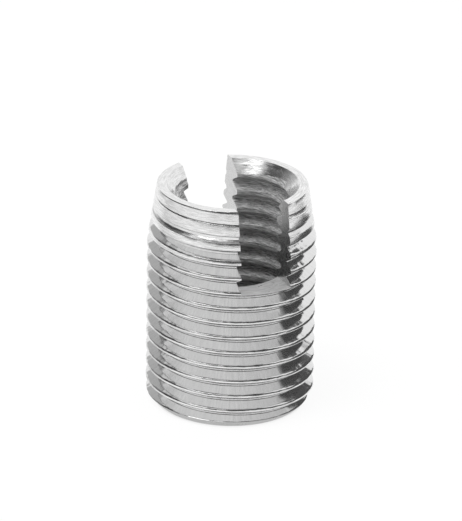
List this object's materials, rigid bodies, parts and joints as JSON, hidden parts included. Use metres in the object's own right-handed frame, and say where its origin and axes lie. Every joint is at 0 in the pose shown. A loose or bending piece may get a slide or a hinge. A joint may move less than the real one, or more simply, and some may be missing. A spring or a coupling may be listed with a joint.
{
  "type": "slotted self-tapping threaded insert",
  "caption": "One-piece steel bush threaded inside and out, with a cutting slot across its tapered end, that taps its own way into a hole and gives it a strong screw thread.",
  "frame": {"origin": "centre of the plain (tail) end face, on which the insert stands", "axes": "+Z along the axis to the slotted, tapered entry end; the slot runs along Y"},
  "size_m": [0.016, 0.016, 0.0218],
  "materials": {
    "plated_steel": "bright zinc-plated turned steel with fine tool marks"
  },
  "bodies": {
    "root": {"thread_insert": "plated_steel"}
  },
  "joints": []
}
